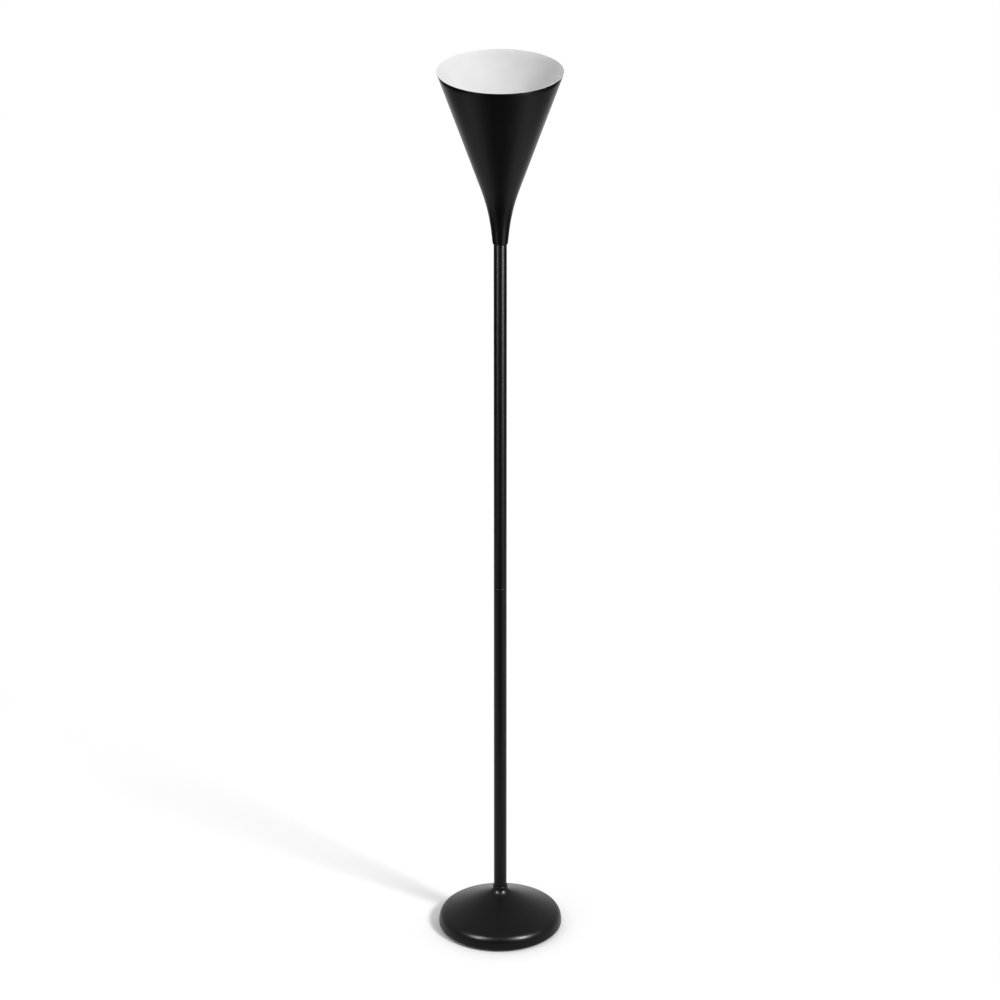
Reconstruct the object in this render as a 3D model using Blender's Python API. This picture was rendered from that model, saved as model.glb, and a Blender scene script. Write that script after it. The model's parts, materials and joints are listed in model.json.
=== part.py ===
"""Torchiere floor lamp: a spun cone shade on a two-piece pole over a weighted round base.

Frame: metres, +Z up, origin on the floor under the middle of the base. The lamp faces -Y, and its cord
gland is at the back, +Y. Every solid stands clear of its neighbours by FIT.
"""

import math

import bmesh
import bpy

# ---------------------------------------------------------------- driving dimensions
MM = 0.001
FIT = 0.3 * MM              # clearance between neighbouring pieces

TOTAL_HEIGHT = 1800 * MM    # floor to shade rim
SHADE_RADIUS = 119 * MM     # outside, at the rim
SHADE_NECK_RADIUS = 14.8 * MM
SHADE_FLOOR_Z = 1455 * MM   # underside of the shade's closed end
SHADE_WALL = 0.8 * MM
SHADE_CORNER = 1.5 * MM     # outside radius where the closed end turns up
CONE_START = 115 * MM       # height over the closed end where the wall becomes a straight cone
CONE_SLOPE = 0.351          # radius gained per unit of height on the straight cone
FLARE_PULL = 3.8 * MM       # how far the flare's lower handle stands out from the neck

POLE_RADIUS = 12.5 * MM     # 25 mm tube
POLE_WALL = 1.0 * MM
POLE_SEAM_Z = 740 * MM      # where the two tubes meet
SEAM_CHAMFER = 0.5 * MM
INSERT_LENGTH = 25 * MM
STUD_RADIUS = 7.1 * MM      # threaded stub that joins the tubes
LEAD_BORE = 4.3 * MM

BASE_RADIUS = 121 * MM
BASE_EDGE_RADIUS = 116.8 * MM
BULGE_Z = 9 * MM            # height of the base's widest ring
ROLL_RADIUS = 110 * MM      # where the rolled rim meets the straight slope
ROLL_Z = 32 * MM
COVER_WALL = 1.2 * MM
FILLET_RADIUS = 36 * MM     # where the straight slope starts to turn up into the neck
FILLET_Z = 66.8 * MM
NECK_RADIUS = 14.4 * MM
NECK_Z = 83.5 * MM            # start of the neck's rounded lip
NECK_LIP = 1.1 * MM         # radius of the lip's bend, on the outside
NECK_LIP_RISE = 3 * MM      # straight part of the neck, under the lip's bend
PAD_RADIUS = 110.5 * MM
PAD_THICKNESS = 2.5 * MM
WEIGHT_RADIUS = 103 * MM
WEIGHT_Z = PAD_THICKNESS + FIT    # underside of the weight and of the cover's edge
WEIGHT_TOP_Z = 22.5 * MM
HUB_RADIUS = 28 * MM
HUB_TOP_Z = 36 * MM
RECESS_RADIUS = 20 * MM
RECESS_Z = 27 * MM
PLATE_Z = 54.5 * MM
PLATE_THICKNESS = 2 * MM

NIPPLE_RADIUS = 5 * MM      # M10 x 1 lamp pipe
NIPPLE_BORE = 3.6 * MM
NIPPLE_HOLE = NIPPLE_RADIUS + FIT
BASE_NIPPLE_Z = 16.5 * MM
BASE_NIPPLE_TOP_Z = 81 * MM
SHADE_NIPPLE_Z = 1436 * MM
NIPPLE_STANDOUT = 6.2 * MM  # nipple above the lampholder cap's floor

WIREWAY_WIDTH = 10 * MM
WIREWAY_Z = 13.5 * MM       # ceiling of the wire-way under the weight
POCKET_WIDTH = 27 * MM
POCKET_START = 45 * MM      # distance of the terminal pocket from the axis
POCKET_END = 76 * MM
POCKET_Z = 17 * MM
GLAND_Z = 9.5 * MM
GLAND_BORE = 3.3 * MM
GLAND_RADIUS = 5.0 * MM
GLAND_FLANGE = 6.2 * MM

# control points (radius, height) of the cover's outer face, curve by curve from its bottom edge
COVER_EDGE = ((BASE_EDGE_RADIUS, WEIGHT_Z), (BASE_RADIUS - 1.2 * MM, 4.2 * MM), (BASE_RADIUS, 6.5 * MM),
              (BASE_RADIUS, BULGE_Z))
COVER_ROLL = ((BASE_RADIUS, BULGE_Z), (BASE_RADIUS, 21.4 * MM), (ROLL_RADIUS + 7.7 * MM, ROLL_Z - 3.7 * MM),
              (ROLL_RADIUS, ROLL_Z))
COVER_FILLET = ((FILLET_RADIUS, FILLET_Z), (25 * MM, 72 * MM), (NECK_RADIUS + 1.8 * MM, 75.5 * MM),
                (NECK_RADIUS, NECK_Z))

BLOCK_SIZE = (21 * MM, 16 * MM, 11 * MM)
BLOCK_Y = 62 * MM
BLOCK_POLE_X = 5.8 * MM     # distance of each terminal from the block's middle
LEAD_RADIUS = 2.5 * MM
LEAD_BEND = 10 * MM         # radius of the bend up into the base nipple
LEAD_RUN_Z = BASE_NIPPLE_Z - LEAD_BEND    # height of the lead's axis under the weight
LEAD_START_Y = 40 * MM
TAIL_RADIUS = 0.7 * MM
TAIL_X = 1.3 * MM           # distance of each core from the lead's axis

RISER_HEIGHT = 46.5 * MM
RISER_RADIUS = 8 * MM
HOLDER_RADIUS = 18.5 * MM
HOLDER_WALL = 1.5 * MM
HOLDER_CAP_HEIGHT = 12.5 * MM
HOLDER_SKIRT_HEIGHT = 38.5 * MM
HOLDER_MOUTH = 14.6 * MM
INSULATOR_RADIUS = 16.3 * MM
INSULATOR_HEIGHT = 8 * MM
INSULATOR_RISE = 1 * MM     # insulator above the skirt's lower edge
TERMINAL_X = 9 * MM
TERMINAL_RADIUS = 2.6 * MM
TERMINAL_HEAD = 2 * MM

THREAD_PITCH = 3.629 * MM   # E26, 7 turns to the inch
THREAD_DEPTH = 0.9 * MM
CAP_THREAD_RADIUS = 12.65 * MM
SHELL_THREAD_RADIUS = 13.1 * MM
SHELL_HEIGHT = 21.5 * MM
CAP_HEIGHT = 22.7 * MM
GLOBE_RADIUS = 30 * MM
GLOBE_WALL = 1.2 * MM
HOUSING_HEIGHT = 37.5 * MM
HOUSING_RADIUS = 27.2 * MM
HOUSING_WALL = 1.6 * MM

FINE = 40                   # facets round the large spun pieces
ROUND = 24                  # facets round the tubes, the bulb and the lampholder
SMALL = 18                  # facets round the fasteners, three to each flat of a nut
TINY = 12                   # facets round the small holes
THREAD_FACETS = 20
THREAD_RINGS = 24           # rings along a threaded sleeve, four to each turn of its thread
SMOOTH_ANGLE = math.radians(35)
FULL_TURN = 2 * math.pi

for old in list(bpy.data.objects):
    bpy.data.objects.remove(old, do_unlink=True)


# ---------------------------------------------------------------- finishes
def finish(name, rgb, roughness, metallic=0.0):
    """A Principled material from an sRGB colour of 0 to 255 per channel."""
    linear = []
    for channel in rgb:
        value = channel / 255
        linear.append(value / 12.92 if value <= 0.04045 else ((value + 0.055) / 1.055) ** 2.4)
    material = bpy.data.materials.new(name)
    material.use_nodes = True
    shader = material.node_tree.nodes["Principled BSDF"]
    shader.inputs["Base Color"].default_value = (*linear, 1.0)
    shader.inputs["Roughness"].default_value = roughness
    shader.inputs["Metallic"].default_value = metallic
    return material


BLACK_PAINT = finish("black_satin_paint", (22, 22, 23), 0.45)
SHADE_PAINT = finish("shade_matt_black_paint", (20, 20, 21), 0.6)
CAST_IRON = finish("cast_iron", (62, 60, 58), 0.75, 0.6)
ZINC_STEEL = finish("zinc_plated_steel", (168, 170, 172), 0.35, 1.0)
BRASS = finish("brass", (196, 164, 92), 0.3, 1.0)
NICKEL = finish("nickel_plated_brass", (190, 188, 180), 0.28, 1.0)
FOAM = finish("black_eva_foam", (30, 30, 30), 0.9)
NYLON = finish("black_nylon", (26, 26, 26), 0.5)
PHENOLIC = finish("black_phenolic", (28, 25, 24), 0.4)
TERMINAL_PLASTIC = finish("natural_terminal_plastic", (225, 222, 210), 0.5)
LEAD_PVC = finish("white_pvc_lead", (226, 226, 222), 0.5)
CORE_BLACK = finish("black_core_pvc", (24, 24, 24), 0.45)
CORE_WHITE = finish("white_core_pvc", (232, 232, 228), 0.45)
WHITE_PLASTIC = finish("white_housing_plastic", (238, 238, 236), 0.45)
DIFFUSER = finish("opal_diffuser_plastic", (246, 246, 243), 0.35)
BOARD_WHITE = finish("white_led_board", (235, 236, 236), 0.5)
BOARD_GREEN = finish("green_driver_board", (30, 92, 58), 0.5)
CAP_GLASS = finish("black_cap_glass", (18, 18, 22), 0.2)
SOLDER = finish("solder", (176, 178, 180), 0.35, 1.0)


# ---------------------------------------------------------------- sections in (radius, height)
def arc(centre, radius, start, end, steps):
    """Points on an arc, from start to end in degrees, measured from +r towards +z."""
    points = []
    for step in range(steps + 1):
        angle = math.radians(start + (end - start) * step / steps)
        points.append((centre[0] + radius * math.cos(angle), centre[1] + radius * math.sin(angle)))
    return points


def bezier(p0, p1, p2, p3, steps):
    """Points on a cubic Bezier curve, in as many dimensions as its control points have."""
    points = []
    for step in range(steps + 1):
        t = step / steps
        weights = ((1 - t) ** 3, 3 * t * (1 - t) ** 2, 3 * t * t * (1 - t), t ** 3)
        rows = zip(p0, p1, p2, p3)
        points.append(tuple(sum(w * value for w, value in zip(weights, row)) for row in rows))
    return points


def offset(points, distance):
    """The same open line moved to the left of its own direction, mitred at its corners."""
    moved = []
    for index, point in enumerate(points):
        before = points[max(index - 1, 0)]
        after = points[min(index + 1, len(points) - 1)]
        normals = []
        for a, b in ((before, point), (point, after)):
            length = math.dist(a, b)
            if length > 0:
                normals.append(((a[1] - b[1]) / length, (b[0] - a[0]) / length))
        first = normals[0]
        last = normals[-1]
        scale = distance / (1 + first[0] * last[0] + first[1] * last[1])
        moved.append((point[0] + (first[0] + last[0]) * scale, point[1] + (first[1] + last[1]) * scale))
    return moved


def sheet(face, wall):
    """The closed section of a sheet whose material lies to the left of its face."""
    return face + offset(face, wall)[::-1]


def ring(inner, outer, height, chamfer=0.0):
    """The section of a plain ring on z = 0, its outer edges chamfered."""
    if chamfer == 0.0:
        return [(inner, 0), (outer, 0), (outer, height), (inner, height)]
    return [(inner, 0), (outer - chamfer, 0), (outer, chamfer), (outer, height - chamfer),
            (outer - chamfer, height), (inner, height)]


def radius_at(face, height):
    """The radius of a profile at a height that it crosses once."""
    for (r0, z0), (r1, z1) in zip(face, face[1:]):
        if min(z0, z1) <= height <= max(z0, z1) and z0 != z1:
            return r0 + (r1 - r0) * (height - z0) / (z1 - z0)
    raise ValueError("the profile doesn't reach this height")


# ---------------------------------------------------------------- solids
def group(name, z):
    """An empty on the lamp's axis that holds one assembly together."""
    empty = bpy.data.objects.new(name, None)
    empty.location = (0, 0, z)
    bpy.context.collection.objects.link(empty)
    return empty


BASE_GROUP = group("base_assembly", 0)
POLE_GROUP = group("pole_assembly", POLE_SEAM_Z)
SHADE_GROUP = group("shade_assembly", SHADE_FLOOR_Z)


def add(name, bm, material, parent, location=(0, 0, 0), rotation=(0, 0, 0)):
    """Turn a bmesh into a named object at a world location, held by an assembly's empty."""
    bmesh.ops.recalc_face_normals(bm, faces=bm.faces)
    mesh = bpy.data.meshes.new(name)
    bm.to_mesh(mesh)
    bm.free()
    mesh.shade_smooth()
    mesh.set_sharp_from_angle(angle=SMOOTH_ANGLE)
    mesh.materials.append(material)
    piece = bpy.data.objects.new(name, mesh)
    bpy.context.collection.objects.link(piece)
    piece.parent = parent
    piece.location = [a - b for a, b in zip(location, parent.location)]
    piece.rotation_euler = rotation
    return piece


def spun(section, facets, angle=FULL_TURN, rise=0.0):
    """A bmesh made by spinning a closed section round Z; less than a full turn keeps its end faces."""
    bm = bmesh.new()
    corners = [bm.verts.new((r, 0, z)) for r, z in section]
    if angle < FULL_TURN:
        bm.faces.new(corners)
    else:
        for a, b in zip(corners, corners[1:] + corners[:1]):
            if a.co.x > 0 or b.co.x > 0:
                bm.edges.new((a, b))
    profile = bm.verts[:] + bm.edges[:] + bm.faces[:]
    bmesh.ops.spin(bm, geom=profile, axis=(0, 0, 1), cent=(0, 0, 0), dvec=(0, 0, rise / facets),
                   angle=angle, steps=facets, use_merge=angle == FULL_TURN)
    bmesh.ops.remove_doubles(bm, verts=bm.verts, dist=FIT / 1000)
    return bm


def turned(name, section, material, parent, z=0.0, facets=ROUND):
    """A named body of revolution on the lamp's axis."""
    return add(name, spun(section, facets), material, parent, (0, 0, z))


def block(size):
    """A bmesh box standing on z = 0."""
    bm = bmesh.new()
    bmesh.ops.create_cube(bm, size=1)
    bmesh.ops.scale(bm, vec=size, verts=bm.verts)
    bmesh.ops.translate(bm, vec=(0, 0, size[2] / 2), verts=bm.verts)
    return bm


def cut(piece, bm, name, location, rotation=(0, 0, 0)):
    """Cut a bmesh shape out of a piece with a live Boolean."""
    tool = add(name, bm, piece.data.materials[0], piece.parent, location, rotation)
    tool.hide_render = True
    tool.display_type = "WIRE"
    modifier = piece.modifiers.new(name, "BOOLEAN")
    modifier.operation = "DIFFERENCE"
    modifier.solver = "EXACT"
    modifier.object = tool


def nut(name, across_flats, bore, height, material, parent, z):
    """A hexagon nut: a turned ring whose outer points are moved out to six flats."""
    bm = spun(ring(bore, across_flats / 2, height), SMALL)
    for vert in bm.verts:
        radius = math.hypot(vert.co.x, vert.co.y)
        if radius > (bore + across_flats / 2) / 2:
            angle = math.atan2(vert.co.y, vert.co.x) % math.radians(60) - math.radians(30)
            vert.co.x /= math.cos(angle)
            vert.co.y /= math.cos(angle)
    return add(name, bm, material, parent, (0, 0, z))


def rolled_thread(bm, face_radius, z_start, z_end, phase_z, clear):
    """Press a round E26 thread into one face of a sleeve, between two heights.

    Outside the thread, and over a turn at each of its ends, the face runs out to the side that clears the
    mating thread: clear is 1 in a bore and -1 on a shank.
    """
    for vert in bm.verts:
        radius = math.hypot(vert.co.x, vert.co.y)
        if abs(radius - face_radius) < FIT / 2:
            turn = math.atan2(vert.co.y, vert.co.x) / FULL_TURN
            wave = math.cos(FULL_TURN * ((vert.co.z + phase_z) / THREAD_PITCH - turn))
            depth = min(1, (vert.co.z - z_start) / THREAD_PITCH, (z_end - vert.co.z) / THREAD_PITCH)
            share = math.sin(max(0, depth) * math.pi / 2)
            grown = 1 + THREAD_DEPTH / 2 * (wave * share + clear * (1 - share)) / radius
            vert.co.x *= grown
            vert.co.y *= grown


def screw(name, radius, length, head_radius, head_height, material, parent, location):
    """A pan-headed screw pointing up, its head at the bottom."""
    section = [(0, 0), (head_radius * 0.8, 0), (head_radius, head_height * 0.4), (head_radius, head_height),
               (radius, head_height), (radius, head_height + length - radius / 2),
               (radius / 2, head_height + length), (0, head_height + length)]
    return add(name, spun(section, TINY), material, parent, location)


def lead(name, points, radius, sides, material, parent):
    """A round flexible lead along a list of world points."""
    curve = bpy.data.curves.new(name, "CURVE")
    curve.dimensions = "3D"
    curve.bevel_depth = radius
    curve.bevel_resolution = sides
    curve.use_fill_caps = True
    spline = curve.splines.new("POLY")
    spline.points.add(len(points) - 1)
    for spot, point in zip(spline.points, points):
        spot.co = (*(a - b for a, b in zip(point, parent.location)), 1)
    curve.materials.append(material)
    piece = bpy.data.objects.new(name, curve)
    bpy.context.collection.objects.link(piece)
    piece.parent = parent
    return piece


# ---------------------------------------------------------------- base
def cover_face():
    """The base cover's outer profile, from its bottom edge up to the lip of its neck."""
    lip_centre = (NECK_RADIUS - NECK_LIP, NECK_Z + NECK_LIP_RISE)
    lip = arc(lip_centre, NECK_LIP, 0, 110, 2)
    return bezier(*COVER_EDGE, 2) + bezier(*COVER_ROLL, 6)[1:] + bezier(*COVER_FILLET, 5) + lip


def base_cover():
    face = cover_face()
    cover = turned("base_cover", sheet(face, COVER_WALL), BLACK_PAINT, BASE_GROUP, facets=FINE)
    hole = spun([(0, 0), (GLAND_RADIUS + FIT, 0), (GLAND_RADIUS + FIT, 10 * MM), (0, 10 * MM)], SMALL)
    cut(cover, hole, "gland_hole", (0, BASE_RADIUS + 3 * MM, GLAND_Z), (math.pi / 2, 0, 0))
    return offset(face, COVER_WALL)


def base_plate(cover_inside):
    """The disc welded inside the cover, which the pole stands on."""
    radius = radius_at(cover_inside, PLATE_Z + PLATE_THICKNESS) - 3 * FIT
    turned("cover_bridge_plate", ring(NIPPLE_HOLE, radius, PLATE_THICKNESS), ZINC_STEEL, BASE_GROUP,
           PLATE_Z, FINE)


def base_weight():
    bevel = 2 * MM
    section = [(NIPPLE_HOLE, RECESS_Z), (RECESS_RADIUS, RECESS_Z), (RECESS_RADIUS, WEIGHT_Z),
               (WEIGHT_RADIUS - bevel, WEIGHT_Z), (WEIGHT_RADIUS, WEIGHT_Z + bevel),
               (WEIGHT_RADIUS, WEIGHT_TOP_Z - bevel), (WEIGHT_RADIUS - bevel, WEIGHT_TOP_Z),
               (HUB_RADIUS + bevel, WEIGHT_TOP_Z), (HUB_RADIUS, WEIGHT_TOP_Z + bevel),
               (HUB_RADIUS - bevel, HUB_TOP_Z), (NIPPLE_HOLE, HUB_TOP_Z)]
    weight = turned("base_weight", section, CAST_IRON, BASE_GROUP, facets=FINE)
    wireway_length = WEIGHT_RADIUS
    wireway = block((WIREWAY_WIDTH, wireway_length, WIREWAY_Z))
    cut(weight, wireway, "wireway", (0, RECESS_RADIUS / 2 + wireway_length / 2, 0))
    pocket = block((POCKET_WIDTH, POCKET_END - POCKET_START, POCKET_Z))
    cut(weight, pocket, "terminal_pocket", (0, (POCKET_START + POCKET_END) / 2, 0))
    tapping = spun([(0, 0), (1.8 * MM, 0), (1.8 * MM, 5 * MM), (0, 5 * MM)], TINY)
    cut(weight, tapping, "fixing_screw_hole", (0, BLOCK_Y, POCKET_Z - 1 * MM))


def base_stack():
    """What clamps the base: spacer, nipple, washers and nut."""
    spacer_height = PLATE_Z - HUB_TOP_Z - 2 * FIT
    turned("spacer_tube", ring(NIPPLE_HOLE + 1 * MM, 11 * MM, spacer_height, 0.5 * MM), ZINC_STEEL,
           BASE_GROUP, HUB_TOP_Z + FIT)
    turned("base_nipple", ring(NIPPLE_BORE, NIPPLE_RADIUS, BASE_NIPPLE_TOP_Z - BASE_NIPPLE_Z, 0.5 * MM),
           ZINC_STEEL, BASE_GROUP, BASE_NIPPLE_Z, SMALL)
    washer_z = RECESS_Z - FIT - 1.5 * MM
    turned("flat_washer", ring(NIPPLE_HOLE, 15 * MM, 1.5 * MM), ZINC_STEEL, BASE_GROUP, washer_z, SMALL)
    lock_z = washer_z - FIT - 2.1 * MM
    spring = spun(ring(NIPPLE_HOLE, 9 * MM, 1.6 * MM), SMALL - 1, math.radians(345), 0.5 * MM)
    add("lock_washer", spring, ZINC_STEEL, BASE_GROUP, (0, 0, lock_z))
    nut("base_nut", 17 * MM, NIPPLE_HOLE, 5 * MM, ZINC_STEEL, BASE_GROUP, lock_z - FIT - 5 * MM)


def cord_gland():
    """The bush at the back where the supply cord enters, held by a flange behind the cover's wall."""
    inner_y = 112 * MM
    outer_y = BASE_RADIUS - 0.2 * MM
    length = outer_y - inner_y
    section = [(GLAND_BORE, 0), (GLAND_FLANGE, 0), (GLAND_FLANGE, 2.8 * MM), (GLAND_RADIUS, 2.8 * MM),
               (GLAND_RADIUS, length - 0.6 * MM), (GLAND_RADIUS - 0.6 * MM, length), (GLAND_BORE, length)]
    add("cord_gland", spun(section, SMALL), NYLON, BASE_GROUP, (0, inner_y, GLAND_Z), (-math.pi / 2, 0, 0))


def connector_block():
    """The two-pole terminal block in the weight's pocket, open to the lead's cores and to its screws."""
    bottom = POCKET_Z - FIT - BLOCK_SIZE[2]
    piece = add("connector_block", block(BLOCK_SIZE), TERMINAL_PLASTIC, BASE_GROUP, (0, BLOCK_Y, bottom))
    well = 2.2 * MM
    entry = 1.2 * MM
    for side, core in ((-1, "live"), (1, "neutral")):
        x = side * BLOCK_POLE_X
        shaft = spun([(0, 0), (well, 0), (well, 6 * MM), (0, 6 * MM)], TINY)
        cut(piece, shaft, core + "_screw_well", (x, BLOCK_Y, bottom - 1 * MM))
        passage = spun([(0, 0), (entry, 0), (entry, BLOCK_SIZE[1] + 2 * MM), (0, BLOCK_SIZE[1] + 2 * MM)], TINY)
        cut(piece, passage, core + "_core_entry", (x, BLOCK_Y + BLOCK_SIZE[1] / 2 + 1 * MM, bottom + 3 * MM),
            (math.pi / 2, 0, 0))
        screw("connector_screw_" + core, 1.0 * MM, 0.6 * MM, well - FIT, 1.2 * MM, NICKEL, BASE_GROUP,
              (x, BLOCK_Y, bottom - 0.6 * MM))
    through = spun([(0, 0), (1.8 * MM, 0), (1.8 * MM, 13 * MM), (0, 13 * MM)], TINY)
    cut(piece, through, "fixing_hole", (0, BLOCK_Y, bottom - 1 * MM))
    head = 1.2 * MM
    screw("block_fixing_screw", 1.5 * MM, BLOCK_SIZE[2] + 2.5 * MM, 2.8 * MM, head, ZINC_STEEL, BASE_GROUP,
          (0, BLOCK_Y, bottom - FIT - head))


# ---------------------------------------------------------------- pole
def pole():
    bottom = PLATE_Z + PLATE_THICKNESS + FIT
    top = SHADE_FLOOR_Z - FIT
    inside = POLE_RADIUS - POLE_WALL
    insert = inside - FIT
    lower_top = POLE_SEAM_Z - FIT
    upper_bottom = POLE_SEAM_Z + FIT
    turned("lower_pole_tube", ring(inside, POLE_RADIUS, lower_top - bottom, SEAM_CHAMFER), BLACK_PAINT,
           POLE_GROUP, bottom)
    turned("upper_pole_tube", ring(inside, POLE_RADIUS, top - upper_bottom, SEAM_CHAMFER), BLACK_PAINT,
           POLE_GROUP, upper_bottom)
    end_insert = ring(NIPPLE_HOLE, insert, INSERT_LENGTH, 0.5 * MM)
    turned("lower_bottom_insert", end_insert, ZINC_STEEL, POLE_GROUP, bottom)
    turned("upper_top_insert", end_insert, ZINC_STEEL, POLE_GROUP, top - INSERT_LENGTH)
    socket = ring(STUD_RADIUS + FIT, insert, INSERT_LENGTH, 0.5 * MM)
    turned("joint_socket", socket, ZINC_STEEL, POLE_GROUP, lower_top - INSERT_LENGTH)
    stub = INSERT_LENGTH - 3 * MM
    stud = [(LEAD_BORE, 0), (STUD_RADIUS - 1 * MM, 0), (STUD_RADIUS, 1 * MM), (STUD_RADIUS, stub),
            (insert, stub), (insert, stub + INSERT_LENGTH), (LEAD_BORE, stub + INSERT_LENGTH)]
    turned("joint_stud", stud, ZINC_STEEL, POLE_GROUP, upper_bottom - stub)


# ---------------------------------------------------------------- shade
def shade():
    """One spun steel cone with a closed end, flared out of its neck into a straight cone."""
    height = TOTAL_HEIGHT - SHADE_FLOOR_Z
    cone_radius = SHADE_RADIUS - CONE_SLOPE * (height - CONE_START)
    floor = [(NIPPLE_HOLE, 0)] + arc((SHADE_NECK_RADIUS - SHADE_CORNER, SHADE_CORNER), SHADE_CORNER,
                                     -90, -5, 3)
    flare = bezier((SHADE_NECK_RADIUS, SHADE_CORNER), (SHADE_NECK_RADIUS + FLARE_PULL, CONE_START * 0.36),
                   (cone_radius - CONE_SLOPE * CONE_START * 0.4, CONE_START * 0.6),
                   (cone_radius, CONE_START), 7)
    rim_rise = SHADE_WALL * CONE_SLOPE / math.hypot(1, CONE_SLOPE)
    face = floor + flare + [(SHADE_RADIUS, height - rim_rise)]
    turned("shade", sheet(face, SHADE_WALL), SHADE_PAINT, SHADE_GROUP, SHADE_FLOOR_Z, FINE)


def shade_stack():
    """Washer, riser and nipple that clamp the shade to the pole; returns the lampholder's lowest height."""
    washer_z = SHADE_FLOOR_Z + SHADE_WALL + FIT
    washer_height = 1.6 * MM
    turned("shade_washer", ring(NIPPLE_HOLE, 11.5 * MM, washer_height), ZINC_STEEL, SHADE_GROUP, washer_z,
           SMALL)
    riser_z = washer_z + washer_height + FIT
    turned("riser_tube", ring(NIPPLE_HOLE, RISER_RADIUS, RISER_HEIGHT, 0.5 * MM), ZINC_STEEL, SHADE_GROUP,
           riser_z, SMALL)
    holder_z = riser_z + RISER_HEIGHT + FIT
    nipple_top = holder_z + HOLDER_WALL + NIPPLE_STANDOUT
    turned("shade_nipple", ring(NIPPLE_BORE, NIPPLE_RADIUS, nipple_top - SHADE_NIPPLE_Z, 0.5 * MM),
           ZINC_STEEL, SHADE_GROUP, SHADE_NIPPLE_Z, SMALL)
    return holder_z


def lampholder(z):
    """The E26 lampholder on the nipple's top; returns the height of its screw shell's seat."""
    corner = 2 * MM
    cap_face = [(NIPPLE_HOLE, 0)] + arc((HOLDER_RADIUS - corner, corner), corner, -90, 0, 3)
    cap_face.append((HOLDER_RADIUS, HOLDER_CAP_HEIGHT))
    turned("lampholder_cap", sheet(cap_face, HOLDER_WALL), PHENOLIC, SHADE_GROUP, z)
    nut("lampholder_nut", 14 * MM, NIPPLE_HOLE, 4 * MM, ZINC_STEEL, SHADE_GROUP, z + HOLDER_WALL + FIT)

    skirt_z = z + HOLDER_CAP_HEIGHT + FIT
    bore = HOLDER_RADIUS - HOLDER_WALL
    skirt = [(bore, 0), (HOLDER_RADIUS, 0), (HOLDER_RADIUS, HOLDER_SKIRT_HEIGHT - 1 * MM),
             (HOLDER_RADIUS - 1 * MM, HOLDER_SKIRT_HEIGHT), (HOLDER_MOUTH, HOLDER_SKIRT_HEIGHT),
             (HOLDER_MOUTH, HOLDER_SKIRT_HEIGHT - HOLDER_WALL), (bore, HOLDER_SKIRT_HEIGHT - HOLDER_WALL)]
    turned("lampholder_skirt", skirt, PHENOLIC, SHADE_GROUP, skirt_z)

    insulator_z = skirt_z + INSULATOR_RISE
    puck = ring(2.2 * MM, INSULATOR_RADIUS, INSULATOR_HEIGHT, 0.5 * MM)
    insulator = turned("lampholder_insulator", puck, PHENOLIC, SHADE_GROUP, insulator_z)
    shank = TERMINAL_RADIUS / 2
    for side, core in ((-1, "live"), (1, "neutral")):
        x = side * TERMINAL_X
        hole = shank + FIT
        tapping = spun([(0, 0), (hole, 0), (hole, 7 * MM), (0, 7 * MM)], TINY)
        cut(insulator, tapping, core + "_terminal_hole", (x, 0, insulator_z - 1 * MM))
        screw("terminal_screw_" + core, shank, 5.5 * MM, TERMINAL_RADIUS, TERMINAL_HEAD, BRASS, SHADE_GROUP,
              (x, 0, insulator_z - FIT - TERMINAL_HEAD))

    seat = insulator_z + INSULATOR_HEIGHT + FIT
    wall = 0.5 * MM
    flange = 8 * MM
    outside = SHELL_THREAD_RADIUS + THREAD_DEPTH / 2 + wall
    step = (SHELL_HEIGHT - wall) / THREAD_RINGS
    threaded = [(SHELL_THREAD_RADIUS, wall + step * count) for count in range(THREAD_RINGS + 1)]
    bm = spun([(flange, wall)] + threaded + [(outside, SHELL_HEIGHT), (outside, 0), (flange, 0)],
              THREAD_FACETS)
    rolled_thread(bm, SHELL_THREAD_RADIUS, 1 * MM, SHELL_HEIGHT, seat, 1)
    add("lampholder_screw_shell", bm, BRASS, SHADE_GROUP, (0, 0, seat))

    strip = 0.5 * MM
    width = 5 * MM
    rise = [(-6.5 * MM, 0), (-3 * MM, 0), (1.5 * MM, 1.2 * MM), (5 * MM, 1.2 * MM)]
    line = rise + [(x, h + strip) for x, h in rise[::-1]]
    bm = bmesh.new()
    side_face = bm.faces.new([bm.verts.new((x, -width / 2, h)) for x, h in line])
    swept = bmesh.ops.extrude_face_region(bm, geom=[side_face])["geom"]
    far_side = [item for item in swept if isinstance(item, bmesh.types.BMVert)]
    bmesh.ops.translate(bm, vec=(0, width, 0), verts=far_side)
    add("lampholder_contact", bm, BRASS, SHADE_GROUP, (0, 0, seat))
    return seat


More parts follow.
